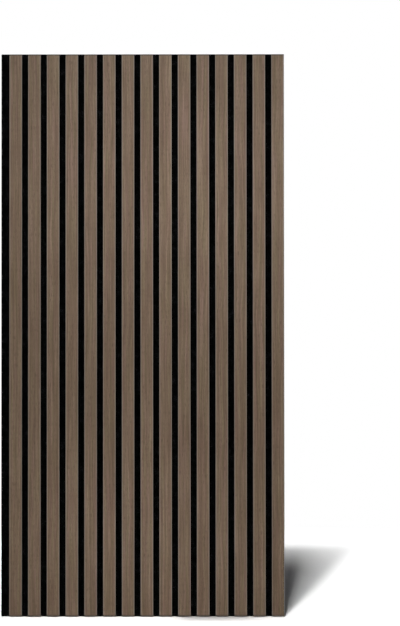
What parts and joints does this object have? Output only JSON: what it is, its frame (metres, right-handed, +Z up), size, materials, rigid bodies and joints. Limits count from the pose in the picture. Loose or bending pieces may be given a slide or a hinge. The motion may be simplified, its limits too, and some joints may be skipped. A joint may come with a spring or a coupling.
{
  "type": "acoustic slat wall panel",
  "caption": "Sound-absorbing wall panel: upright walnut-veneered fibreboard slats with even gaps, fixed to a black felt board that runs on past the left slat.",
  "frame": {"origin": "centre of the felt board's back face, which goes against the wall", "axes": "+X to the right as the panel is seen, +Y into the wall, +Z up along the slats; the slats' faces look along -Y"},
  "size_m": [0.605, 0.021, 1.2],
  "materials": {
    "felt": "needle-punched polyester felt, black, matte",
    "core": "fibreboard dyed black through its thickness, sawn",
    "veneer": "grey-brown smoked walnut veneer, straight grain, matte lacquer",
    "staple": "galvanised wire"
  },
  "bodies": {
    "root": {"felt_backing": "felt", "slat_core_01": "core", "slat_core_02": "core", "slat_core_03": "core", "slat_core_04": "core", "slat_core_05": "core", "slat_core_06": "core", "slat_core_07": "core", "slat_core_08": "core", "slat_core_09": "core", "slat_core_10": "core", "slat_core_11": "core", "slat_core_12": "core", "slat_core_13": "core", "slat_core_14": "core", "slat_core_15": "core", "slat_veneer_01": "veneer", "slat_veneer_02": "veneer", "slat_veneer_03": "veneer", "slat_veneer_04": "veneer", "slat_veneer_05": "veneer", "slat_veneer_06": "veneer", "slat_veneer_07": "veneer", "slat_veneer_08": "veneer", "slat_veneer_09": "veneer", "slat_veneer_10": "veneer", "slat_veneer_11": "veneer", "slat_veneer_12": "veneer", "slat_veneer_13": "veneer", "slat_veneer_14": "veneer", "slat_veneer_15": "veneer", "staples": "staple"}
  },
  "joints": []
}
